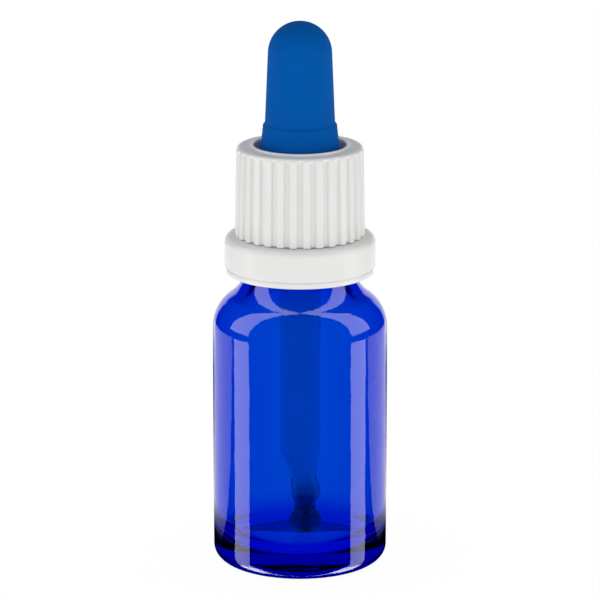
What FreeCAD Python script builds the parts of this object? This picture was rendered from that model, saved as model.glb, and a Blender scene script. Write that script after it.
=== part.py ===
import FreeCAD, Part
import math
import os

# Dropper bottle: a 15 ml moulded glass bottle with an 18 mm screw neck, closed by a ribbed tamper
# evident cap that clamps a rubber bulb with a glass pipette. Millimetres, +Z up, and the origin is
# at the middle of the circle that the bottle stands on.

# ---- Glass bottle ----
bottle_height = 65.0       # standing plane to the sealing rim
body_radius = 14.25
glass_wall = 1.9           # body and shoulder
heel_radius = 2.3          # outer edge at the bottom
inner_heel_radius = 5.2    # the inside is bowl-shaped, as pressed glass is
foot_width = 1.55          # flat ring that the bottle stands on
push_up = 0.8              # height of the hollow under the base
floor_thickness = 3.3      # standing plane to the inner floor
shoulder_radius = 6.45
throat_radius = 7.5        # hollow curve from shoulder to neck
inner_throat_radius = 9.4
rim_round = 0.7            # outer edge of the sealing rim
mouth_round = 0.5          # inner edge of the sealing rim

# ---- Screw neck ----
thread_radius = 8.9        # over the crests of the glass thread
thread_depth = 1.05
thread_pitch = 3.0
thread_turns = 1.6
thread_base = 1.9          # width of a ridge at its root
thread_crest = 0.8         # width of a ridge at its crest
thread_fade = 50.0         # degrees over which a ridge rises from nothing
thread_drop = 1.7          # rim down to the middle of the uppermost ridge
neck_wall = 2.45           # glass between the thread's root and the bore
bead_rise = 0.7            # how far the tamper bead stands out past the thread
bead_overhang = 1.1        # how far the bead stands out past the plain neck below it
bead_height = 1.8
bead_round = 0.35
bead_slope = 0.9           # height of the cone that lets the collar slip over the bead
bead_drop = 10.8           # rim down to the top of the bead
neck_length = 1.67         # plain neck between the bead and the shoulder's hollow curve

# ---- Screw cap ----
thread_clearance = 0.25    # cap's thread root over the glass crest, and cap's crest over the glass root
ridge_set = 0.2            # how far the cap's ridge sits above the middle of the glass groove
cap_thread_turns = 1.5
cap_wall = 1.1             # thinnest wall, between two ribs at the bottom
rib_count = 30
rib_depth = 0.35
cap_draft = 0.25           # how much less the cap's radius is at its top
cap_corner = 0.7
cap_roof = 2.3
cap_lip_rise = 0.3         # raised edge round the hole
cap_lip_width = 0.6
hole_clearance = 0.9       # between the bulb's skirt and the hole's edge
roof_gap = 0.05            # cap's roof over the bulb's flange, which it turns on

# ---- Tamper collar ----
collar_overhang = 1.65     # how far the collar stands out past the ribs
collar_wall = 1.2
collar_height = 6.2
collar_round = 1.1         # upper outer edge
collar_ledge = 0.95        # thickness of the ring-shaped top
collar_lip = 1.1           # height of the narrower band at the bottom
collar_lip_step = 0.2
collar_lip_taper = 0.12
collar_clearance = 0.3     # round the bead
collar_gap = 0.12          # between the collar's top and the cap
claw_count = 8
claw_angle = 26.0          # degrees that each claw covers
claw_height = 1.4
claw_gap = 0.2             # under the bead
claw_clearance = 0.5       # round the plain neck
bridge_count = 10
bridge_width = 0.8
bridge_depth = 0.35
bridge_break = 0.04        # the hair gap where a bridge has parted from the cap

# ---- Rubber bulb ----
bulb_radius = 5.65         # grip, at its lower end
bulb_taper = 0.49          # how much slimmer the grip is at its upper end
bulb_wall = 1.35
grip_height = 11.2         # tapering part below the dome
flange_thickness = 2.15
flange_clearance = 0.55    # inside the cap's thread root
flange_edge = 0.4          # rounding of the flange
skirt_height = 6.0         # flange to the step below the grip
skirt_step = 0.33
skirt_flare = 0.55         # how much wider the skirt is at its foot
skirt_foot = 0.5           # hollow curve between skirt and flange
stretch = 0.05             # how much the glass stretches the rubber that holds it
seal_gap = 0.02            # flange over the glass rim

# ---- Glass pipette ----
pipette_radius = 3.325
pipette_wall = 0.9
bead_swell = 0.6           # fire-polished bead at the pipette's upper end
ball_radius = 2.7
ball_offset = 0.9          # the tip is bent a little to one side
ball_clearance = 0.3       # ball over the bottle's floor
orifice_radius = 0.8
# From the ball's middle upwards: height, share of the ball's offset, outer radius.
tip_stations = (
    (1.4, 1.00, 1.80),     # inside the ball
    (2.7, 0.97, 1.72),     # neck above the ball
    (4.3, 1.00, 2.38),
    (5.8, 0.97, 2.42),     # small swelling
    (7.7, 0.62, 2.12),     # waist
    (10.2, 0.28, 2.62),
)
tip_taper_start = 13.0     # height above the ball's middle where the straight tube ends

# ---- Sizes that follow ----
thread_root = thread_radius - thread_depth
bore_radius = thread_root - neck_wall
bead_radius = thread_radius + bead_rise
neck_radius = bead_radius - bead_overhang
cavity_radius = body_radius - glass_wall
bead_top = bottle_height - bead_drop
bead_bottom = bead_top - bead_height
neck_bottom = bead_bottom - neck_length
ridge_top = bottle_height - thread_drop
ridge_bottom = ridge_top - thread_turns * thread_pitch

cap_thread_root = thread_radius + thread_clearance
cap_thread_crest = thread_root + thread_clearance
rib_valley = cap_thread_root + cap_wall
rib_crest = rib_valley + rib_depth
flange_bottom = bottle_height + seal_gap
flange_top = flange_bottom + flange_thickness
roof_underside = flange_top + roof_gap
cap_top = roof_underside + cap_roof

skirt_radius = bulb_radius + skirt_step
skirt_foot_radius = skirt_radius + skirt_flare
hole_radius = skirt_foot_radius + hole_clearance
flange_radius = cap_thread_root - flange_clearance
skirt_top = flange_top + skirt_height
grip_bottom = skirt_top + skirt_step
dome_middle = grip_bottom + grip_height
dome_radius = bulb_radius - bulb_taper

collar_top = bead_top + collar_ledge - collar_clearance
cap_bottom = collar_top + collar_gap
collar_bottom = collar_top - collar_height
collar_radius = rib_crest + collar_overhang
collar_ledge_radius = bead_radius + collar_clearance

ball_middle = floor_thickness + ball_clearance + ball_radius
pipette_bore = pipette_radius - pipette_wall
pipette_top = skirt_top - skirt_step

axis_point = FreeCAD.Vector(0, 0, 0)
axis_up = FreeCAD.Vector(0, 0, 1)


# ---- Outlines ----
def at(radius, height):
    """A point of an outline, which lies in the XZ half-plane."""
    return FreeCAD.Vector(radius, 0, height)


def on_circle(middle, radius, degrees):
    angle = math.radians(degrees)
    return middle + at(radius * math.cos(angle), radius * math.sin(angle))


def bend(middle, radius, start, end):
    """An arc of an outline about a middle, from one angle to another in degrees."""
    return (
        on_circle(middle, radius, start),
        on_circle(middle, radius, (start + end) / 2),
        on_circle(middle, radius, end),
    )


def outline(*steps):
    """A closed face from corners and arcs in order. Straight lines join them."""
    edges = []
    first = None
    here = None
    for step in steps:
        arc = step if isinstance(step, tuple) else None
        start = arc[0] if arc else step
        if first is None:
            first = start
        elif (start - here).Length > 1e-6:
            edges.append(Part.LineSegment(here, start).toShape())
        if arc:
            edges.append(Part.Arc(*arc).toShape())
        here = arc[2] if arc else step
    edges.append(Part.LineSegment(here, first).toShape())
    return Part.Face(Part.Wire(edges))


def turned(*steps, degrees=360.0):
    return outline(*steps).revolve(axis_point, axis_up, degrees)


def around(shape, count, first=0.0):
    """Equally spaced copies of a shape about the axis."""
    copies = []
    for number in range(count):
        copy = shape.copy()
        copy.rotate(axis_point, axis_up, first + number * 360.0 / count)
        copies.append(copy)
    return copies


def helical_ridge(root, crest, base_width, crest_width, bottom, turns):
    """A thread's ridge that climbs right-handed from root to crest and fades in and out at its ends.

    The crest may lie outside the root, as on the neck, or inside it, as in the cap.
    """
    sink = math.copysign(0.2, root - crest)
    step = 15.0
    sweep = turns * 360.0
    count = round(sweep / step)
    sections = []
    for number in range(count + 1):
        degrees = number * sweep / count
        rise = min(1.0, degrees / thread_fade, (sweep - degrees) / thread_fade)
        rise = math.sin(rise * math.pi / 2) ** 2
        reach = root + sink / 2 + (crest - root - sink / 2) * rise
        half_tip = base_width / 2 + (crest_width - base_width) / 2 * rise
        height = bottom + thread_pitch * degrees / 360.0
        corners = [
            at(root + sink, height - base_width / 2),
            at(reach, height - half_tip),
            at(reach, height + half_tip),
            at(root + sink, height + base_width / 2),
        ]
        section = Part.makePolygon(corners + corners[:1])
        section.rotate(axis_point, axis_up, degrees)
        sections.append(section)
    return Part.makeLoft(sections, True, False)


# ---- Pieces ----
def make_bottle():
    swing = math.degrees(math.acos(
        (neck_radius + throat_radius - body_radius + shoulder_radius) / (shoulder_radius + throat_radius)
    ))
    reach = shoulder_radius + throat_radius
    shoulder_height = neck_bottom - reach * math.sin(math.radians(swing))
    inner_shoulder = shoulder_radius - glass_wall
    inner_reach = inner_shoulder + inner_throat_radius
    inner_swing = math.degrees(math.acos(
        (bore_radius + inner_throat_radius - cavity_radius + inner_shoulder) / inner_reach
    ))
    throat_height = shoulder_height + inner_reach * math.sin(math.radians(inner_swing))
    foot_radius = body_radius - heel_radius - foot_width
    dome = (foot_radius ** 2 + push_up ** 2) / (2 * push_up)
    dome_angle = math.degrees(math.asin(foot_radius / dome))
    glass = turned(
        bend(at(0, push_up - dome), dome, 90, 90 - dome_angle),
        bend(at(body_radius - heel_radius, heel_radius), heel_radius, -90, 0),
        bend(at(body_radius - shoulder_radius, shoulder_height), shoulder_radius, 0, swing),
        bend(at(neck_radius + throat_radius, neck_bottom), throat_radius, 180 + swing, 180),
        at(neck_radius, bead_bottom),
        bend(at(bead_radius - bead_round, bead_bottom + bead_round), bead_round, -90, 0),
        at(bead_radius, bead_top - bead_slope),
        at(thread_root, bead_top),
        bend(at(thread_root - rim_round, bottle_height - rim_round), rim_round, 0, 90),
        bend(at(bore_radius + mouth_round, bottle_height - mouth_round), mouth_round, 90, 180),
        bend(at(bore_radius + inner_throat_radius, throat_height), inner_throat_radius,
             180, 180 + inner_swing),
        bend(at(cavity_radius - inner_shoulder, shoulder_height), inner_shoulder, inner_swing, 0),
        bend(at(cavity_radius - inner_heel_radius, floor_thickness + inner_heel_radius),
             inner_heel_radius, 0, -90),
        at(0, floor_thickness),
    )
    thread = helical_ridge(
        thread_root, thread_radius, thread_base, thread_crest, ridge_bottom, thread_turns
    )
    return glass.fuse(thread)


def scalloped_ring(valley, height):
    """The cap's outline seen from above: a round rib, then a sharp valley, all the way round."""
    half = math.pi / rib_count
    edges = []
    for number in range(rib_count):
        middle = 2 * half * number
        points = [
            FreeCAD.Vector(radius * math.cos(angle), radius * math.sin(angle), height)
            for radius, angle in (
                (valley, middle - half), (valley + rib_depth, middle), (valley, middle + half)
            )
        ]
        edges.append(Part.Arc(*points).toShape())
    return Part.Wire(edges)


def make_screw_cap():
    ribbed = Part.makeLoft([
        scalloped_ring(rib_valley, cap_bottom),
        scalloped_ring(rib_valley - cap_draft, cap_top + cap_lip_rise),
    ], True, True)
    top_radius = rib_crest - cap_draft
    lip_round = cap_lip_width / 2
    lip_middle = hole_radius + lip_round
    lip_centre = at(lip_middle, cap_top + cap_lip_rise - lip_round)
    envelope = turned(
        at(hole_radius, cap_bottom),
        at(rib_crest + rib_depth, cap_bottom),
        at(rib_crest + rib_depth, cap_top - cap_corner - rib_depth - cap_draft),
        bend(at(top_radius - cap_corner, cap_top - cap_corner), cap_corner, 0, 90),
        at(lip_middle + lip_round, cap_top),
        bend(lip_centre, lip_round, 0, 180),
    )
    inside = turned(
        at(0, cap_bottom),
        at(cap_thread_root, cap_bottom),
        at(cap_thread_root, roof_underside),
        at(0, roof_underside),
    )
    glass_ridge_base = ridge_bottom - thread_pitch / 2 + ridge_set
    thread = helical_ridge(
        cap_thread_root, cap_thread_crest, thread_base, thread_crest,
        glass_ridge_base, cap_thread_turns
    )
    return ribbed.common(envelope).cut(inside).fuse(thread)


def make_tamper_ring():
    inner = collar_radius - collar_wall
    lip_top = collar_bottom + collar_lip
    lip_radius = collar_radius - collar_lip_step
    shell = turned(
        at(inner, collar_bottom),
        at(lip_radius - collar_lip_taper, collar_bottom),
        at(lip_radius, lip_top),
        at(collar_radius, lip_top),
        bend(at(collar_radius - collar_round, collar_top - collar_round), collar_round, 0, 90),
        at(collar_ledge_radius, collar_top),
        at(collar_ledge_radius, collar_top - collar_ledge),
        at(inner, collar_top - collar_ledge),
    )
    claw_top = bead_bottom - claw_gap
    tip = neck_radius + claw_clearance
    claw = turned(
        at(inner + collar_wall / 2, claw_top - claw_height),
        at(inner + collar_wall / 2, claw_top),
        at(tip, claw_top),
        at(tip, claw_top - claw_height / 3),
        degrees=claw_angle,
    )
    return shell.fuse(around(claw, claw_count))


def make_tamper_bridges():
    height = collar_gap - bridge_break
    bridge = Part.makeBox(
        bridge_depth, bridge_width, height,
        FreeCAD.Vector(collar_ledge_radius + 0.02, -bridge_width / 2, collar_top)
    )
    return Part.makeCompound(around(bridge, bridge_count, 180.0 / bridge_count))


def bead_seat(middle, radius, swell):
    """The round bead at the pipette's upper end, as an arc of the outline."""
    return bend(at(radius, middle), swell, -90, 90)


def make_bulb():
    held = pipette_radius - stretch
    seat = pipette_top - bead_swell
    cavity_foot = pipette_top + bead_swell / 2
    cavity_radius_low = bulb_radius - bulb_wall
    inner_dome = dome_radius - bulb_wall
    return turned(
        at(held, flange_bottom),
        bend(at(flange_radius - flange_edge, flange_bottom + flange_edge), flange_edge, -90, 0),
        bend(at(flange_radius - flange_edge, flange_top - flange_edge), flange_edge, 0, 90),
        bend(at(skirt_foot_radius + skirt_foot, flange_top + skirt_foot), skirt_foot, 270, 180),
        at(skirt_radius, skirt_top),
        at(bulb_radius, grip_bottom),
        bend(at(0, dome_middle), dome_radius, 0, 90),
        bend(at(0, dome_middle), inner_dome, 90, 0),
        at(cavity_radius_low, cavity_foot + bulb_wall / 2),
        at(held, cavity_foot),
        bead_seat(seat, held, bead_swell)[::-1],
    )


def make_pipette():
    straight_from = ball_middle + tip_taper_start
    seat = pipette_top - bead_swell
    tube = turned(
        at(pipette_bore, straight_from),
        at(pipette_radius, straight_from),
        at(pipette_radius, seat - bead_swell),
        bead_seat(seat, pipette_radius, bead_swell),
        at(pipette_bore, seat + bead_swell),
    )
    outer = []
    inner = []
    for height, share, radius in tip_stations + ((tip_taper_start, 0.0, pipette_radius),):
        middle = FreeCAD.Vector(ball_offset * share, 0, ball_middle + height)
        bore = max(orifice_radius, radius - pipette_wall)
        outer.append(Part.Wire(Part.makeCircle(radius, middle, axis_up)))
        inner.append(Part.Wire(Part.makeCircle(bore, middle, axis_up)))
    ball_centre = FreeCAD.Vector(ball_offset, 0, ball_middle)
    ball = Part.makeSphere(ball_radius, ball_centre)
    outlet = Part.makeCylinder(
        orifice_radius, ball_radius + tip_stations[0][0] + 1.0,
        ball_centre - axis_up * (ball_radius + 1.0)
    )
    tip = Part.makeLoft(outer, True, False).fuse(ball)
    tip = tip.cut(Part.makeLoft(inner, True, False)).cut(outlet)
    return tube.fuse(tip).removeSplitter()


pieces = {
    "bottle": make_bottle,
    "screw_cap": make_screw_cap,
    "tamper_ring": make_tamper_ring,
    "tamper_bridges": make_tamper_bridges,
    "bulb": make_bulb,
    "pipette": make_pipette,
}

os.makedirs("parts", exist_ok=True)
for name, make in pieces.items():
    piece = make()
    box = piece.BoundBox
    print(
        f"{name}: {len(piece.Solids)} solids, valid {piece.isValid()}, {piece.Volume:.1f} mm3, "
        f"z {box.ZMin:.2f} to {box.ZMax:.2f}, width {box.XLength:.2f}"
    )
    piece.exportStep(f"parts/{name}.step")
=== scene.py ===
"""The finished look of the dropper bottle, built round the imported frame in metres, +Z up."""

import math

import bmesh
import bpy
import numpy as np
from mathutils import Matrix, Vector

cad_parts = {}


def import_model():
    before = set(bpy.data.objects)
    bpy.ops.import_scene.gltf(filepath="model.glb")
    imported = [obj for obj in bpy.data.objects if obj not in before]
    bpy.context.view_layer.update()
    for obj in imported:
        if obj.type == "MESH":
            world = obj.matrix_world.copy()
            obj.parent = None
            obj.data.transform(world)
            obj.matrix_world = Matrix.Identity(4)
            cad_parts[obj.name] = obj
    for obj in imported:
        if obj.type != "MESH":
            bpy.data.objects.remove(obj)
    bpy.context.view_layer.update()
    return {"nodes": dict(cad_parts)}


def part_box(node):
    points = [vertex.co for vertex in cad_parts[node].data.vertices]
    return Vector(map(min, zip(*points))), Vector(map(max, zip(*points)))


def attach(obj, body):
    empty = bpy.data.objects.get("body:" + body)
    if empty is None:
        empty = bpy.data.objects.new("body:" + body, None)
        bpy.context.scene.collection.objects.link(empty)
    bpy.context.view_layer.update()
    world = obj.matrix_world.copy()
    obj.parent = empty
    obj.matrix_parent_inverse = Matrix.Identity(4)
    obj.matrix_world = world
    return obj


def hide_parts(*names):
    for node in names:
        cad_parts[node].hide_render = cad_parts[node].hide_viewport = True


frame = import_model()

MM = 0.001


def box_mm(node):
    """A CAD node's largest radius, lowest height and highest height, in millimetres."""
    low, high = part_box(node)
    return (high.y - low.y) / 2 / MM, low.z / MM, high.z / MM


# ---- Sizes from the frame, in millimetres ----
body_radius, stand, rim = box_mm("bottle")
cap_radius, cap_bottom, cap_lip_top = box_mm("screw_cap")
collar_radius, collar_bottom, collar_top = box_mm("tamper_ring")
flange_radius, flange_bottom, bulb_top = box_mm("bulb")
pipette_top = box_mm("pipette")[2]

# ---- Sizes of the glass ----
glass_wall = 1.9
heel = 2.3
inner_heel = 5.2
foot_width = 1.55
push_up = 0.8
floor_height = 3.3
shoulder = 6.45
throat = 7.5
inner_throat = 9.4
thread_root = 7.85
thread_crest = 8.9
thread_pitch = 3.0
thread_turns = 1.6
neck_radius = 8.5
bore_radius = 5.4
neck_length = 1.67
bead_radius = 9.6
bead_height = 1.8
bead_slope = 0.9
finish_height = 10.8
thread_drop = 1.7
bead_high = rim - finish_height
bead_low = bead_high - bead_height
neck_low = bead_low - neck_length
thread_low = rim - thread_drop - thread_turns * thread_pitch
thread_base = 1.9
thread_top = 0.8

# ---- Sizes of the plastic and rubber ----
rib_count = 30
rib_depth = 0.35
groove_depth = 0.5
cap_draft = 0.25
cap_inside = 9.15
roof_underside = flange_bottom + 2.2
cap_top = cap_lip_top - 0.3
hole_radius = 7.4
grip_radius = 5.65
dome_radius = 5.16
bulb_wall = 1.35
flange_thickness = 2.15
skirt_top = flange_bottom + flange_thickness + 6.0
dome_middle = bulb_top - dome_radius
tube_radius = 3.325
tube_wall = 0.9
tube_swell = 0.6
ball_radius = 2.7
ball_offset = 0.9
ball_middle = floor_height + 0.3 + ball_radius
outlet_radius = 0.8
# Painted shade on the pipette: its tint darkens from the upper of these two heights down to the lower
# one.
tip_shade_low = ball_middle + 1.0
tip_shade_top = ball_middle + 9.0

# ---- Light, as a multiple of white ----
box_light = 3.0             # the two tall boxes, and their streaks in the floor
wing_light = 1.0            # the floor's two wings, and the glow low on the far side
low_light = 7.0             # the short streaks that the rounding of the base mirrors
wall_light = 0.72
ceiling_light = 0.40
floor_light = 0.96
glass_light = 0.66          # the floor as it is seen through glass

# ---- Places of the lights, in degrees round from the front and in the upward part of a direction ----
box_start = 71.0
box_end = 105.0
box_foot = 0.07
streak_end = 97.0
streak_top = -0.19
wing_end = 152.0
glow_start = 150.0
glow_foot = -0.27
glow_top = 0.22
low_start = 64.0
low_end = 108.0
low_side = 0.42             # how far out to the side the short streaks begin
low_top = -0.64
sharp = 0.01                # half-width of an edge of light

# ---- Lamps for the plastic and rubber, and the camera, in metres ----
lamp_side = 0.38
lamp_front = -0.34
lamp_height = 0.12
lamp_size = (0.3, 0.45)
lamp_power = 0.45
lamp_aim = 0.045
camera_distance = 0.560
camera_height = 0.1939
camera_tilt = 15.0095       # degrees below level
camera_lens = 213.31        # millimetres, for a sensor 36 mm wide


# ---- Outlines and turned meshes ----
def arc(middle, radius, start, end, step=4.0):
    """Points of an arc of an outline, angles in degrees."""
    count = max(2, math.ceil(abs(end - start) / step))
    angles = np.radians(np.linspace(start, end, count + 1))
    return [
        (middle[0] + radius * math.cos(a), middle[1] + radius * math.sin(a))
        for a in angles
    ]


def outline(*stretches, gap=1.0):
    """One list of (radius, height) from points and arcs, with points along straight stretches."""
    corners = []
    for stretch in stretches:
        corners += stretch if isinstance(stretch, list) else [stretch]
    made = [corners[0]]
    for there in corners[1:]:
        here = made[-1]
        length = math.dist(here, there)
        if length < 1e-4:
            continue
        count = max(1, math.ceil(length / gap))
        for number in range(1, count + 1):
            share = number / count
            made.append(tuple(h + (t - h) * share for h, t in zip(here, there)))
    return made


def mesh_object(name, points, faces, *materials):
    mesh = bpy.data.meshes.new(name)
    mesh.from_pydata(points, [], faces)
    shape = bmesh.new()
    shape.from_mesh(mesh)
    bmesh.ops.recalc_face_normals(shape, faces=shape.faces)
    shape.to_mesh(mesh)
    shape.free()
    mesh.shade_smooth()
    for material in materials:
        mesh.materials.append(material)
    made = bpy.data.objects.new(name, mesh)
    bpy.context.scene.collection.objects.link(made)
    return made


def turned_mesh(points, sides, relief=None, lift=None, sway=None, closed=False):
    """Vertices and faces of an outline turned about the axis.

    relief(angle, radius, height) pushes the surface outwards, lift(angle, radius, height) pushes it
    up, and sway(height) moves its middle sideways. An outline that isn't closed starts and ends on
    the axis.
    """
    radius, height = np.array(points).T
    angle = np.linspace(0, 2 * math.pi, sides, endpoint=False)
    grid_radius = np.repeat(radius[:, None], sides, 1)
    if relief:
        grid_radius = grid_radius + relief(angle[None, :], radius[:, None], height[:, None])
    middle = sway(height)[:, None] if sway else 0.0
    across = grid_radius * np.cos(angle) + middle
    along = grid_radius * np.sin(angle)
    up = np.repeat(height[:, None], sides, 1)
    if lift:
        up = up + lift(angle[None, :], radius[:, None], height[:, None])
    places = np.stack([across, along, up], -1)
    first, last = (0, len(points)) if closed else (1, len(points) - 1)
    vertices = places[first:last].reshape(-1, 3)
    rows = last - first
    column = np.arange(sides)
    beside = (column + 1) % sides
    faces = []
    for row in range(rows if closed else rows - 1):
        here = row * sides
        there = (row + 1) % rows * sides
        faces += np.stack(
            [here + column, here + beside, there + beside, there + column], 1
        ).tolist()
    if not closed:
        poles = [places[0, 0], places[-1, 0]]
        foot = len(vertices)
        vertices = np.concatenate([vertices, poles])
        faces += [[foot, b, a] for a, b in zip(column.tolist(), beside.tolist())]
        ring = (rows - 1) * sides
        faces += [
            [foot + 1, ring + a, ring + b] for a, b in zip(column.tolist(), beside.tolist())
        ]
    return vertices * MM, faces


def soft_step(value, start, end):
    """0 before start, 1 after end, and smooth between them."""
    share = np.clip((value - start) / (end - start), 0, 1)
    return share * share * (3 - 2 * share)


def helical_relief(angle, height, low, turns):
    """How far a thread stands out: a rounded ridge of the thread's depth that fades at its ends."""
    best = np.zeros(np.broadcast(angle, height).shape)
    circle = 2 * math.pi
    run_out = 0.9
    end = circle * turns
    for turn in range(math.ceil(turns) + 1):
        swept = angle + circle * turn
        middle = low + thread_pitch * swept / circle
        fade = soft_step(swept, 0, run_out) * soft_step(-swept, -end, run_out - end)
        off = np.abs(height - middle)
        best = np.maximum(best, fade * soft_step(-off, -thread_base / 2, -thread_top / 2))
    return best * (thread_crest - thread_root)


# ---- Shapes ----
def swing_of(low_radius, high_radius, bulge, hollow):
    """Degrees of the bulging arc before it meets the hollow one, and the height that both climb."""
    reach = bulge + hollow
    degrees = math.degrees(math.acos((high_radius - low_radius + reach) / reach))
    return degrees, reach * math.sin(math.radians(degrees))


def bottle_outline():
    """From the middle of the base outside, over the rim and down to the middle of the inner floor."""
    swing, climb = swing_of(body_radius, neck_radius, shoulder, throat)
    shoulder_low = neck_low - climb
    inside = body_radius - glass_wall
    inner_shoulder = shoulder - glass_wall
    inner_swing, inner_climb = swing_of(inside, bore_radius, inner_shoulder, inner_throat)
    foot = body_radius - heel - foot_width
    dome = (foot ** 2 + push_up ** 2) / (2 * push_up)
    dome_angle = math.degrees(math.asin(foot / dome))
    finish_round = 0.7
    mouth_round = 0.5
    bead_round = 0.35
    corner = 0.3
    fine = 0.25
    base_and_body = outline(
        arc((0, stand + push_up - dome), dome, 90, 90 - dome_angle, 0.4),
        arc((body_radius - heel, stand + heel), heel, -90, 0, 3),
        arc((body_radius - shoulder, shoulder_low), shoulder, 0, swing, 2),
        arc((neck_radius + throat, neck_low), throat, 180 + swing, 180, 3),
        (neck_radius, bead_low - corner),
        arc((neck_radius + corner, bead_low - corner), corner, 180, 90, 15),
        arc((bead_radius - bead_round, bead_low + bead_round), bead_round, -90, 0, 10),
        arc((bead_radius - bead_round, bead_high - bead_slope - bead_round), bead_round, 0, 30, 10),
        (thread_root + corner, bead_high),
        arc((thread_root + corner, bead_high + corner), corner, 270, 180, 15),
    )
    screw = outline((thread_root, bead_high + corner), (thread_root, rim - finish_round), gap=fine)
    inner = outline(
        arc((thread_root - finish_round, rim - finish_round), finish_round, 0, 90, 8),
        arc((bore_radius + mouth_round, rim - mouth_round), mouth_round, 90, 180, 8),
        arc((bore_radius + inner_throat, shoulder_low + inner_climb), inner_throat,
            180, 180 + inner_swing, 2),
        arc((inside - inner_shoulder, shoulder_low), inner_shoulder, inner_swing, 0, 2),
        arc((inside - inner_heel, floor_height + inner_heel), inner_heel, 0, -90, 2),
        (0, floor_height),
    )
    return base_and_body + screw[1:] + inner[1:]


def bottle_relief(angle, radius, height):
    """Thread on the neck, and the small unevenness of blown glass on the inside."""
    near = 0.05
    on_neck = (np.abs(radius - thread_root) < near) & (height > bead_high)
    cavity = (radius > 0.5) & (radius < body_radius - glass_wall + near)
    inside = cavity & (height > floor_height - near) & (height < neck_low)
    broad_wave = 0.012 * np.sin(3 * angle + 0.21 * height)
    short_wave = 0.008 * np.sin(5 * angle - 0.33 * height + 1.0)
    thread = helical_relief(angle, height, thread_low, thread_turns)
    return np.where(on_neck, thread, 0) + np.where(inside, broad_wave + short_wave, 0)


def make_bottle(material):
    points, faces = turned_mesh(bottle_outline(), 288, relief=bottle_relief)
    return mesh_object("glass_bottle", points, faces, material)


def make_cap(material):
    corner = 0.7
    lip = 0.3
    lip_step = 0.1
    hole_edge = 0.2
    top_radius = cap_radius - cap_draft
    valley = cap_radius - rib_depth
    edge = 0.05
    side = outline(
        (cap_radius - edge, cap_bottom), (cap_radius, cap_bottom + edge),
        (top_radius, cap_top - corner), gap=0.3,
    )
    top = outline(
        arc((top_radius - corner, cap_top - corner), corner, 0, 90, 6),
        (hole_radius + 2 * lip + lip_step, cap_top),
        arc((hole_radius + lip, cap_lip_top - lip), lip, 10, 180, 12),
        arc((hole_radius + hole_edge, roof_underside + hole_edge), hole_edge, 180, 270, 20),
        arc((cap_inside - lip, roof_underside - lip), lip, 90, 0, 20),
    )
    inner = outline((cap_inside, roof_underside - lip), (cap_inside, cap_bottom + edge), gap=0.25)
    bottom = outline((cap_inside, cap_bottom + edge), (cap_inside + edge, cap_bottom))
    points = side + top[1:] + inner[1:] + bottom[1:]

    def relief(angle, radius, height):
        """Grooves between thirty ribs outside, closed at the top, and the screw thread inside."""
        outer = (radius > valley - cap_draft) & (height < cap_top - 0.2)
        below_edge = soft_step(-height, 0.3 - cap_top, 0.8 - cap_top)
        groove = (1 - rib_share(angle)) * groove_depth * below_edge
        between_turns = thread_low - thread_pitch / 2 + 0.2
        thread = helical_relief(angle, height, between_turns, 1.5)
        inside = (np.abs(radius - cap_inside) < 0.01) & (height < roof_underside - 0.35)
        return -np.where(outer, groove, 0) - np.where(inside, thread, 0)

    def lift(angle, radius, height):
        """Between two ribs the skirt ends a little higher than at their feet."""
        reach = 0.4
        rise = 0.06
        outer = (radius > valley - 0.2) & (height < cap_bottom + reach)
        share = soft_step(-height, -cap_bottom - reach, -cap_bottom)
        return np.where(outer, (1 - rib_share(angle)) * rise * share, 0)

    sides_per_rib = 20
    vertices, faces = turned_mesh(
        points, rib_count * sides_per_rib, relief=relief, lift=lift, closed=True
    )
    return mesh_object("ribbed_cap", vertices, faces, material)


def rib_share(angle):
    """1 on top of a rib of the cap, 0 in the groove beside it, with steep flanks between."""
    turn = np.mod(angle * rib_count / (2 * math.pi) + 0.5, 1.0)
    return soft_step(-np.abs(turn - 0.5), -0.30, -0.23)


def make_collar(material):
    wall = 1.2
    inner = collar_radius - wall
    corner = 1.1
    ledge = bead_radius + 0.3
    ledge_low = collar_top - 0.95
    flap = thread_crest + 0.4
    lip_top = collar_bottom + 1.1
    lip_step = 0.2
    lip_radius = collar_radius - lip_step
    soft = 0.12
    flap_edge = 0.15
    inner_corner = 0.4
    points = outline(
        (inner + soft, collar_bottom),
        arc((lip_radius - 2 * soft, collar_bottom + soft), soft, -90, 0, 20),
        (lip_radius, lip_top - 1.5 * soft),
        (lip_radius - lip_step, lip_top - soft),
        (lip_radius - lip_step, lip_top),
        arc((collar_radius - soft, lip_top + soft), soft, -90, 0, 20),
        arc((collar_radius - corner, collar_top - corner), corner, 0, 90, 4),
        arc((flap + flap_edge, collar_top - flap_edge), flap_edge, 90, 180, 20),
        (flap, collar_top - 0.35),
        (ledge, collar_top - 0.4),
        arc((ledge + flap_edge, ledge_low + flap_edge), flap_edge, 180, 270, 20),
        arc((inner - inner_corner, ledge_low - inner_corner), inner_corner, 90, 0, 15),
        (inner, collar_bottom + soft),
        gap=0.5,
    )
    vertices, faces = turned_mesh(points, 256, closed=True)
    return mesh_object("tamper_collar", vertices, faces, material)


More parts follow.
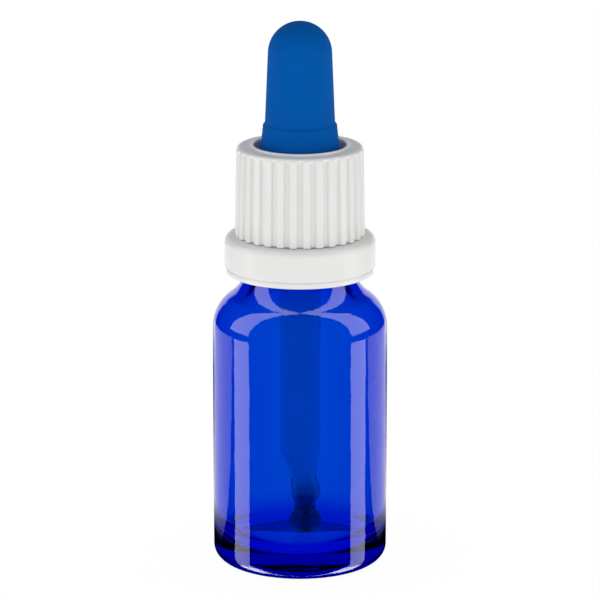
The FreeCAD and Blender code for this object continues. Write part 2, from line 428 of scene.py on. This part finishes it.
def make_claws(material):
    """Eight hooks under the glass bead, each a closed wedge."""
    count = 8
    swept = math.radians(26)
    top = bead_low - 0.2
    tip = neck_radius + 0.5
    back = collar_radius - 0.6
    bevel = 0.1
    tip_thickness = 0.5
    back_thickness = 1.4
    shape = [
        (back, top - back_thickness),
        (back, top),
        (tip + bevel, top),
        (tip, top - bevel),
        (tip, top - tip_thickness),
    ]
    steps = 8
    vertices = []
    faces = []
    for number in range(count):
        foot = len(vertices)
        start = 2 * math.pi * number / count
        for step in range(steps + 1):
            angle = start + swept * step / steps
            vertices += [
                (r * math.cos(angle) * MM, r * math.sin(angle) * MM, z * MM) for r, z in shape
            ]
        size = len(shape)
        for step in range(steps):
            for corner in range(size):
                a = foot + step * size + corner
                b = foot + step * size + (corner + 1) % size
                faces.append([a, b, b + size, a + size])
        faces.append([foot + corner for corner in range(size)])
        faces.append([foot + steps * size + corner for corner in range(size)])
    made = mesh_object("collar_claws", vertices, faces, material)
    for face in made.data.polygons:
        face.use_smooth = False
    return made


def make_bulb(material):
    """Flange, skirt, grip and dome, and the hollow that holds the pipette's swollen top."""
    edge = 0.4
    foot = 0.5
    skirt = grip_radius + 0.33
    skirt_foot = skirt + 0.55
    skirt_edge = 0.25
    grip_foot = 0.2
    flange_top = flange_bottom + flange_thickness
    held = tube_radius
    seat = pipette_top - tube_swell
    inner_dome = dome_radius - bulb_wall
    points = outline(
        arc((flange_radius - edge, flange_bottom + edge), edge, -90, 0, 9),
        arc((flange_radius - edge, flange_top - edge), edge, 0, 90, 9),
        arc((skirt_foot + foot, flange_top + foot), foot, 270, 184, 9),
        arc((skirt - skirt_edge, skirt_top - skirt_edge), skirt_edge, 5, 70, 12),
        arc((grip_radius + grip_foot, skirt_top + 0.33), grip_foot, 235, 178, 12),
        arc((0, dome_middle), dome_radius, 2.4, 90, 2.5),
        gap=0.6,
    )
    inner = outline(
        arc((0, dome_middle), inner_dome, 90, 0, 5),
        (grip_radius - bulb_wall, pipette_top + 1.0),
        (held, pipette_top + 0.3),
        (held, seat + tube_swell),
        arc((held, seat), tube_swell, 90, -90, 15),
        (held, flange_bottom),
        gap=1.0,
    )
    vertices, faces = closed_through_axis(points, inner, 192)
    return mesh_object("rubber_bulb", vertices, faces, material)


def closed_through_axis(outer, inner, sides):
    """A hollow turned shell that is closed at the top: its two outlines end on the axis there."""
    vertices_out, faces_out = turned_mesh([(0, outer[0][1] - 1)] + outer, sides)
    vertices_in, faces_in = turned_mesh(inner + [(0, inner[-1][1] - 1)], sides)
    rows_out = len(outer) - 1
    rows_in = len(inner) - 1
    # the poles that stood below the flange are dropped, and the two shells are joined there
    foot_out = rows_out * sides
    keep_out = [f for f in faces_out if foot_out not in f]
    shift = len(vertices_out)
    last_in = rows_in * sides + 1
    keep_in = [[v + shift for v in f] for f in faces_in if last_in not in f]
    column = np.arange(sides)
    beside = (column + 1) % sides
    ring_in = shift + (rows_in - 1) * sides
    join = np.stack([column, beside, ring_in + beside, ring_in + column], 1).tolist()
    vertices = np.concatenate([vertices_out, vertices_in])
    faces = keep_out + keep_in + join
    used = sorted({v for f in faces for v in f})
    new = {old: number for number, old in enumerate(used)}
    return vertices[used], [[new[v] for v in f] for f in faces]


def make_pipette(material):
    """A drawn tube with a fire-polished bead above, and a bent tip with a swelling and a ball."""
    # height above the ball's middle, share of the sideways bend, and radius from the ball's neck up
    stations = (
        (0.0, 1.00, None),
        (2.7, 0.97, 1.72),
        (4.3, 1.00, 2.38),
        (5.8, 0.97, 2.42),
        (7.7, 0.62, 2.12),
        (10.2, 0.28, 2.62),
        (13.0, 0.0, tube_radius),
    )
    heights = np.array([s[0] for s in stations]) + ball_middle
    shares = np.array([s[1] for s in stations])
    bend_top = heights[-1]

    def sway(height):
        return ball_offset * smooth_through(heights, shares, height)

    rows = np.arange(heights[1], bend_top, 0.25)
    radii = smooth_through(heights[1:], np.array([s[2] for s in stations[1:]]), rows)
    outlet_edge = math.degrees(math.asin(outlet_radius / ball_radius))
    neck_edge = math.degrees(math.asin(1.75 / ball_radius))
    ball = arc((0, ball_middle), ball_radius, outlet_edge - 90, 90 - neck_edge, 4)
    ball_top = ball[-1][1] + 0.05
    tip = [(float(r), float(z)) for r, z in zip(radii, rows) if z > ball_top]
    seat = pipette_top - tube_swell
    upper = outline((tube_radius, bend_top), (tube_radius, seat - tube_swell), gap=2.0)
    bead = arc((tube_radius, seat), tube_swell, -90, 90, 10)
    bore = tube_radius - tube_wall
    inner = outline((bore, pipette_top), (bore, bend_top), gap=2.0)
    narrow_bore = [
        (float(max(outlet_radius, r - tube_wall)), float(z))
        for r, z in zip(radii[::-1], rows[::-1])
    ]
    outlet = [(outlet_radius, ball_middle), (outlet_radius, ball_middle - 1.2)]
    clean = []
    for point in ball + tip + upper + bead + inner + narrow_bore + outlet:
        if not clean or math.dist(point, clean[-1]) > 0.02:
            clean.append(point)
    vertices, faces = turned_mesh(clean, 128, sway=sway, closed=True)
    return mesh_object("glass_pipette", vertices, faces, material)


def smooth_through(knots, values, at):
    """A smooth curve through given values, flat at both ends."""
    slopes = np.zeros(len(knots))
    slopes[1:-1] = (values[2:] - values[:-2]) / (knots[2:] - knots[:-2])
    at = np.clip(at, knots[0], knots[-1])
    place = np.clip(np.searchsorted(knots, at, side="right") - 1, 0, len(knots) - 2)
    width = knots[place + 1] - knots[place]
    share = (at - knots[place]) / width
    rise = share * share * (3 - 2 * share)
    lean = share * (1 - share)
    return (
        values[place] * (1 - rise) + values[place + 1] * rise
        + lean * width * ((1 - share) * slopes[place] - share * slopes[place + 1])
    )


# ---- Materials ----
def colour(hex_value):
    """An sRGB hex colour as linear light."""
    parts = [int(hex_value[n:n + 2], 16) / 255 for n in (1, 3, 5)]
    return [p / 12.92 if p <= 0.04045 else ((p + 0.055) / 1.055) ** 2.4 for p in parts] + [1.0]


def add(tree, kind, inputs=(), **settings):
    """Adds a node. An input's value is a number, a colour or another node's socket."""
    node = tree.nodes.new(kind)
    for name, value in settings.items():
        setattr(node, name, value)
    for name, value in dict(inputs).items():
        socket = node.inputs[name]
        if isinstance(value, bpy.types.NodeSocket):
            tree.links.new(value, socket)
        else:
            socket.default_value = value
    return node


def per_metre(size):
    """How many repeats of a pattern fit in a metre, from the size of one in millimetres."""
    return 1 / (size * MM)


def new_material(name):
    material = bpy.data.materials.new(name)
    material.use_nodes = True
    tree = material.node_tree
    tree.nodes.clear()
    return material, tree


def cobalt_glass():
    """Soda-lime glass coloured with cobalt, pressed and blown in a mould: clear and smooth, its blue
    deepens where the glass is thick, and the mould leaves a faint unevenness."""
    material, tree = new_material("cobalt_soda_lime_glass")
    place = add(tree, "ShaderNodeTexCoord").outputs["Object"]
    ripple_width = 3.846
    ripple = add(tree, "ShaderNodeTexNoise", {
        "Vector": place, "Scale": per_metre(ripple_width), "Detail": 2.0,
    })
    bump = add(tree, "ShaderNodeBump", {
        "Height": ripple.outputs[0], "Strength": 0.3, "Distance": 0.13 * MM,
    })
    dull = add(tree, "ShaderNodeMapRange", {
        "Value": ripple.outputs[0], "To Min": 0.004, "To Max": 0.02,
    })
    glass = add(tree, "ShaderNodeBsdfPrincipled", {
        "Base Color": colour("#ffffff"), "Roughness": dull.outputs[0], "IOR": 1.52,
        "Transmission Weight": 1.0, "Normal": bump.outputs[0],
    })
    depth = add(tree, "ShaderNodeVolumeAbsorption", {"Color": colour("#3fe0fe"), "Density": 2500.0})
    add(tree, "ShaderNodeOutputMaterial", {"Surface": glass.outputs[0], "Volume": depth.outputs[0]})
    return material


def clear_glass():
    """Drawn neutral glass tube, fire polished: clear, with painted shade that darkens its tint towards
    the ball at its tip.
    """
    material, tree = new_material("drawn_clear_glass")
    place = add(tree, "ShaderNodeTexCoord").outputs["Object"]
    across = per_metre(1.111)
    along = per_metre(83.33)
    stretched = add(tree, "ShaderNodeMapping", {"Vector": place, "Scale": (across, across, along)})
    draw_lines = add(tree, "ShaderNodeTexNoise", {
        "Vector": stretched.outputs[0], "Scale": 1.0, "Detail": 1.0,
    })
    bump = add(tree, "ShaderNodeBump", {
        "Height": draw_lines.outputs[0], "Strength": 0.05, "Distance": 0.02 * MM,
    })
    height = add(tree, "ShaderNodeSeparateXYZ", {"Vector": place}).outputs[2]
    # Painted shade: the tint turns from near white to grey between 9 mm and 1 mm above the ball's
    # middle, so the tip and its ball look dark.
    ball = add(tree, "ShaderNodeMapRange", {
        "Value": height, "From Min": tip_shade_top * MM, "From Max": tip_shade_low * MM,
    }, interpolation_type="SMOOTHSTEP").outputs[0]
    tint = add(tree, "ShaderNodeMix", {
        0: ball, 6: colour("#f2f4f4"), 7: colour("#7e8692"),
    }, data_type="RGBA")
    glass = add(tree, "ShaderNodeBsdfPrincipled", {
        "Base Color": tint.outputs[2], "Roughness": 0.0, "IOR": 1.47,
        "Transmission Weight": 1.0, "Normal": bump.outputs[0],
    })
    depth = add(tree, "ShaderNodeVolumeAbsorption", {"Color": colour("#a2a6ae"), "Density": 100.0})
    add(tree, "ShaderNodeOutputMaterial", {"Surface": glass.outputs[0], "Volume": depth.outputs[0]})
    return material


def white_polypropylene():
    """Moulded polypropylene: milky white, satin, with the fine texture that the mould leaves."""
    material, tree = new_material("white_polypropylene")
    place = add(tree, "ShaderNodeTexCoord").outputs["Object"]
    cloud_width = 6.25
    grain_width = 0.25
    cloud = add(tree, "ShaderNodeTexNoise", {
        "Vector": place, "Scale": per_metre(cloud_width), "Detail": 3.0,
    })
    grain = add(tree, "ShaderNodeTexNoise", {
        "Vector": place, "Scale": per_metre(grain_width), "Detail": 2.0,
    })
    tint = add(tree, "ShaderNodeMix", {
        0: cloud.outputs[0], 6: colour("#eeeeec"), 7: colour("#f3f3f2"),
    }, data_type="RGBA")
    satin = add(tree, "ShaderNodeMapRange", {
        "Value": cloud.outputs[0], "To Min": 0.26, "To Max": 0.34,
    })
    bump = add(tree, "ShaderNodeBump", {
        "Height": grain.outputs[0], "Strength": 0.12, "Distance": 0.03 * MM,
    })
    plastic = add(tree, "ShaderNodeBsdfPrincipled", {
        "Base Color": tint.outputs[2], "Roughness": satin.outputs[0], "IOR": 1.49,
        "Specular IOR Level": 0.35, "Normal": bump.outputs[0], "Subsurface Weight": 0.15,
        "Subsurface Radius": (1.0, 1.0, 0.9), "Subsurface Scale": 0.6 * MM,
    })
    add(tree, "ShaderNodeOutputMaterial", {"Surface": plastic.outputs[0]})
    return material


def blue_rubber():
    """Moulded rubber, dusted with talc at the works: matte royal blue with hardly any shine."""
    material, tree = new_material("blue_moulded_rubber")
    place = add(tree, "ShaderNodeTexCoord").outputs["Object"]
    cloud_width = 4.545
    grain_width = 0.2
    cloud = add(tree, "ShaderNodeTexNoise", {
        "Vector": place, "Scale": per_metre(cloud_width), "Detail": 4.0,
    })
    grain = add(tree, "ShaderNodeTexNoise", {
        "Vector": place, "Scale": per_metre(grain_width), "Detail": 2.0,
    })
    tint = add(tree, "ShaderNodeMix", {
        0: cloud.outputs[0], 6: colour("#0056a7"), 7: colour("#005bb1"),
    }, data_type="RGBA")
    dull = add(tree, "ShaderNodeMapRange", {
        "Value": cloud.outputs[0], "To Min": 0.6, "To Max": 0.75,
    })
    bump = add(tree, "ShaderNodeBump", {
        "Height": grain.outputs[0], "Strength": 0.25, "Distance": 0.04 * MM,
    })
    rubber = add(tree, "ShaderNodeBsdfPrincipled", {
        "Base Color": tint.outputs[2], "Roughness": dull.outputs[0], "IOR": 1.5,
        "Specular IOR Level": 0.03, "Normal": bump.outputs[0],
    })
    add(tree, "ShaderNodeOutputMaterial", {"Surface": rubber.outputs[0]})
    return material


# ---- Studio ----
def lit_patch(tree, strength, *edges):
    """Light where a direction is beyond every edge, and none elsewhere.

    An edge is a direction, a plane's normal, the plane's distance from the middle along it, and half
    the width of the soft border.
    """
    for direction, normal, offset, soft in edges:
        reach = add(tree, "ShaderNodeVectorMath", {0: direction, 1: normal}, operation="DOT_PRODUCT")
        share = add(tree, "ShaderNodeMapRange", {
            "Value": reach.outputs["Value"], "From Min": offset - soft, "From Max": offset + soft,
        }, interpolation_type="SMOOTHSTEP")
        patch = add(tree, "ShaderNodeMath", {0: strength, 1: share.outputs[0]}, operation="MULTIPLY")
        strength = patch.outputs[0]
    return strength


def both_sides(tree, direction):
    """The same direction, folded over so that the left of the studio is like the right."""
    part = add(tree, "ShaderNodeSeparateXYZ", {"Vector": direction}).outputs
    across = add(tree, "ShaderNodeMath", {0: part[0]}, operation="ABSOLUTE").outputs[0]
    return add(tree, "ShaderNodeCombineXYZ", {"X": across, "Y": part[1], "Z": part[2]}).outputs[0]


def past(degrees):
    """Normal of the upright plane at an angle from the front, on the side farther from the front."""
    angle = math.radians(degrees)
    return (math.cos(angle), math.sin(angle), 0.0)


def before(degrees):
    """Normal of the same plane, on the side nearer to the front."""
    return tuple(-part for part in past(degrees))


def mirrored_ray(tree):
    """1 for a ray that a shiny surface mirrors, 0 for every other one."""
    ray = add(tree, "ShaderNodeLightPath")
    return add(tree, "ShaderNodeMath", {
        0: ray.outputs["Is Glossy Ray"], 1: ray.outputs["Is Transmission Ray"],
    }, operation="SUBTRACT", use_clamp=True).outputs[0]


def make_world():
    """White all round, dimmer overhead. Shiny surfaces are dark but for what they mirror: two tall
    boxes, their streaks in the floor, two short streaks below those, and a low glow on the far side."""
    world = bpy.data.worlds.new("studio")
    bpy.context.scene.world = world
    world.use_nodes = True
    tree = world.node_tree
    tree.nodes.clear()
    way = add(tree, "ShaderNodeTexCoord").outputs["Generated"]
    folded = both_sides(tree, way)
    up = (0.0, 0.0, 1.0)
    down = (0.0, 0.0, -1.0)
    sideways = (1.0, 0.0, 0.0)
    tall_boxes = lit_patch(
        tree, box_light,
        (folded, past(box_start), 0.0, sharp),
        (folded, before(box_end), 0.0, sharp),
        (way, up, box_foot, sharp),
    )
    floor_streaks = lit_patch(
        tree, box_light,
        (folded, past(box_start), 0.0, sharp),
        (folded, before(streak_end), 0.0, sharp),
        (way, down, -streak_top, sharp),
    )
    far_glow = lit_patch(
        tree, wing_light,
        (folded, past(glow_start), 0.0, 3 * sharp),
        (way, down, -glow_top, 4 * sharp),
        (way, up, glow_foot, sharp),
    )
    low_streaks = lit_patch(
        tree, low_light,
        (folded, past(low_start), 0.0, sharp),
        (folded, before(low_end), 0.0, sharp),
        (folded, sideways, low_side, 5 * sharp),
        (way, down, -low_top, 8 * sharp),
    )
    mirrored = tall_boxes
    for patch in (floor_streaks, far_glow, low_streaks):
        mirrored = add(tree, "ShaderNodeMath", {0: mirrored, 1: patch}, operation="ADD").outputs[0]
    height = add(tree, "ShaderNodeSeparateXYZ", {"Vector": way}).outputs[2]
    dimming = add(tree, "ShaderNodeMapRange", {
        "Value": height, "From Min": 0.1, "From Max": 0.85,
        "To Min": wall_light, "To Max": ceiling_light,
    }, interpolation_type="SMOOTHSTEP").outputs[0]
    camera_ray = add(tree, "ShaderNodeLightPath").outputs["Is Camera Ray"]
    room = add(tree, "ShaderNodeMix", {0: camera_ray, 2: dimming, 3: 1.0}).outputs[0]
    light = add(tree, "ShaderNodeMix", {0: mirrored_ray(tree), 2: room, 3: mirrored}).outputs[0]
    white = add(tree, "ShaderNodeBackground", {"Color": colour("#ffffff"), "Strength": light})
    add(tree, "ShaderNodeOutputWorld", {"Surface": white.outputs[0]})


def make_floor():
    """A white floor with a light of its own. Shiny surfaces mirror only its two wings, and see
    through the rest of it to the studio's lower streaks."""
    material, tree = new_material("pale_floor")
    place = add(tree, "ShaderNodeTexCoord").outputs["Object"]
    distance = add(tree, "ShaderNodeVectorMath", {0: place}, operation="LENGTH").outputs["Value"]
    way = add(tree, "ShaderNodeVectorMath", {0: place}, operation="NORMALIZE").outputs[0]
    folded = both_sides(tree, way)
    # Painted shadow in what shiny surfaces mirror: the wings are dark within 22 mm of the middle and
    # come up to full by 40 mm, where the bottle's shadow would lie.
    away = add(tree, "ShaderNodeMapRange", {
        "Value": distance, "From Min": 0.022, "From Max": 0.04,
    }, interpolation_type="SMOOTHSTEP").outputs[0]
    near = add(tree, "ShaderNodeMapRange", {
        "Value": distance, "From Min": 0.25, "From Max": 0.27, "To Min": 1.0, "To Max": 0.0,
    }).outputs[0]
    wings = lit_patch(
        tree, wing_light,
        (folded, past(streak_end), 0.0, sharp),
        (folded, before(wing_end), 0.0, 3 * sharp),
    )
    for fade in (away, near):
        wings = add(tree, "ShaderNodeMath", {0: wings, 1: fade}, operation="MULTIPLY").outputs[0]
    through_glass = add(tree, "ShaderNodeLightPath").outputs["Is Transmission Ray"]
    strength = add(tree, "ShaderNodeMix", {0: through_glass, 2: floor_light, 3: glass_light}).outputs[0]
    lit = add(tree, "ShaderNodeEmission", {"Color": colour("#ffffff"), "Strength": strength})
    paint = add(tree, "ShaderNodeBsdfDiffuse", {"Color": colour("#555555")})
    plain = add(tree, "ShaderNodeAddShader", {0: lit.outputs[0], 1: paint.outputs[0]})
    wing = add(tree, "ShaderNodeEmission", {"Color": colour("#ffffff"), "Strength": wings})
    clear = add(tree, "ShaderNodeBsdfTransparent")
    seen_through = add(tree, "ShaderNodeAddShader", {0: wing.outputs[0], 1: clear.outputs[0]})
    shown = add(tree, "ShaderNodeMixShader", {
        0: mirrored_ray(tree), 1: plain.outputs[0], 2: seen_through.outputs[0],
    })
    add(tree, "ShaderNodeOutputMaterial", {"Surface": shown.outputs[0]})
    reach = 3.0
    corners = [(-reach, -reach, 0), (reach, -reach, 0), (reach, reach, 0), (-reach, reach, 0)]
    floor = mesh_object("floor", corners, [[0, 1, 2, 3]], material)
    floor.location.z = -0.05 * MM    # just below the base, so that the two never share a surface


def make_camera():
    """At the height and distance that the object is looked at from, through a long lens."""
    lens = bpy.data.cameras.new("camera")
    lens.sensor_width = 36.0
    lens.lens = camera_lens
    camera = bpy.data.objects.new("camera", lens)
    camera.location = (0.0, -camera_distance, camera_height)
    camera.rotation_euler = (math.radians(90 - camera_tilt), 0, 0)
    bpy.context.scene.collection.objects.link(camera)
    bpy.context.scene.camera = camera


def box_lamp(name, place, lit):
    """A lamp that lights the given pieces only, so that the glass mirrors the studio alone."""
    lamp = bpy.data.lights.new(name, "AREA")
    lamp.shape = "RECTANGLE"
    lamp.size, lamp.size_y = lamp_size
    lamp.energy = lamp_power
    holder = bpy.data.objects.new(name, lamp)
    holder.location = place
    aim = Vector((0, 0, lamp_aim)) - Vector(place)
    holder.rotation_euler = aim.to_track_quat("-Z", "Y").to_euler()
    bpy.context.scene.collection.objects.link(holder)
    receivers = bpy.data.collections.new(name + "_lights")
    for piece in lit:
        receivers.objects.link(piece)
    holder.light_linking.receiver_collection = receivers


# ---- The whole ----
cobalt = cobalt_glass()
clear = clear_glass()
plastic = white_polypropylene()
rubber = blue_rubber()

pieces = (
    (make_bottle(cobalt), "bottle", "cobalt_glass", ["bottle"]),
    (make_cap(plastic), "cap", "white_plastic", ["screw_cap"]),
    (make_collar(plastic), "collar", "white_plastic", ["tamper_ring"]),
    (make_claws(plastic), "collar", "white_plastic", []),
    (make_bulb(rubber), "dropper", "blue_rubber", ["bulb"]),
    (make_pipette(clear), "dropper", "clear_glass", ["pipette"]),
)
for piece, body, slot, nodes in pieces:
    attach(piece, body)
    if nodes:
        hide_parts(*nodes)
    if body == "collar":
        piece.visible_glossy = False    # the glass mirrors the boxes, not the collar's underside

bridges = frame["nodes"]["tamper_bridges"]
bridges.data.materials.clear()
bridges.data.materials.append(plastic)

make_world()
make_floor()
make_camera()
closure = [piece for piece, body, slot, nodes in pieces if slot in ("white_plastic", "blue_rubber")]
box_lamp("left_box", (-lamp_side, lamp_front, lamp_height), closure)
box_lamp("right_box", (lamp_side, lamp_front, lamp_height), closure)
bpy.context.scene.view_settings.view_transform = "Standard"
bpy.context.scene.cycles.max_bounces = 32
bpy.context.scene.cycles.glossy_bounces = 24
bpy.context.scene.cycles.transmission_bounces = 32
